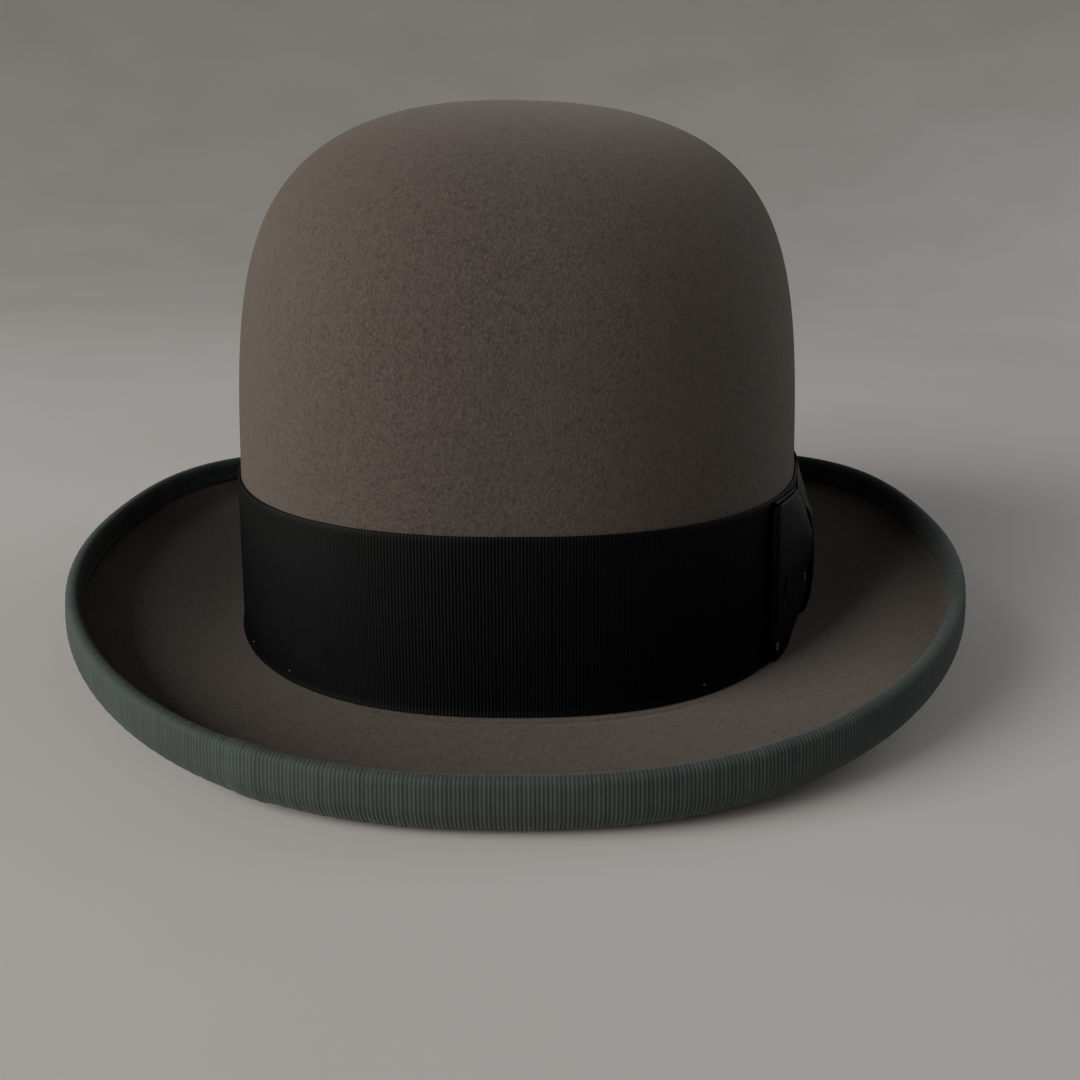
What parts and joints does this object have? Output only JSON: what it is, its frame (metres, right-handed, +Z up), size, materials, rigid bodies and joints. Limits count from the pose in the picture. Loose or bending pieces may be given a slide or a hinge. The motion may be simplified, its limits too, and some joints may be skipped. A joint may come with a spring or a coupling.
{
  "type": "felt hat",
  "caption": "Stiff felt hat with a smooth open crown, a wide ribbon band with a side bow, and a ribbon-bound brim curled up all round.",
  "frame": {"origin": "under the middle of the hat, on the level surface that the brim's front and back rest on", "axes": "+Z up through the crown, -Y towards the front of the hat, +X towards the wearer's left, where the bow is"},
  "size_m": [0.2666, 0.3004, 0.1556],
  "materials": {
    "fur_felt": "matte felt with a fine brushed nap",
    "binding_grosgrain": "ribbed ribbon, soft sheen",
    "binding_thread": "sewing thread",
    "black_grosgrain": "finely ribbed ribbon, soft sheen",
    "black_thread": "sewing thread",
    "sweat_leather": "smooth roan leather, satin",
    "reed_plastic": "covered bead, matte",
    "seam_tape": "woven tape",
    "tan_thread": "sewing thread",
    "small_bow_ribbon": "ribbed ribbon",
    "lining_satin": "satin weave, glossy",
    "clear_film": "clear flexible sheet, glossy"
  },
  "bodies": {
    "root": {"felt_body": "fur_felt", "brim_binding": "binding_grosgrain", "binding_stitches": "binding_thread", "band_ribbon": "black_grosgrain", "band_tacks": "black_thread", "bow_front_loop": "black_grosgrain", "bow_rear_loop": "black_grosgrain", "bow_knot": "black_grosgrain", "bow_tacks": "black_thread", "sweatband": "sweat_leather", "sweatband_reed": "reed_plastic", "sweatband_seam_tape": "seam_tape", "sweatband_stitches": "tan_thread", "sweatband_bow": "small_bow_ribbon", "lining_side": "lining_satin", "lining_tip": "lining_satin", "tip_shield": "clear_film"}
  },
  "joints": []
}
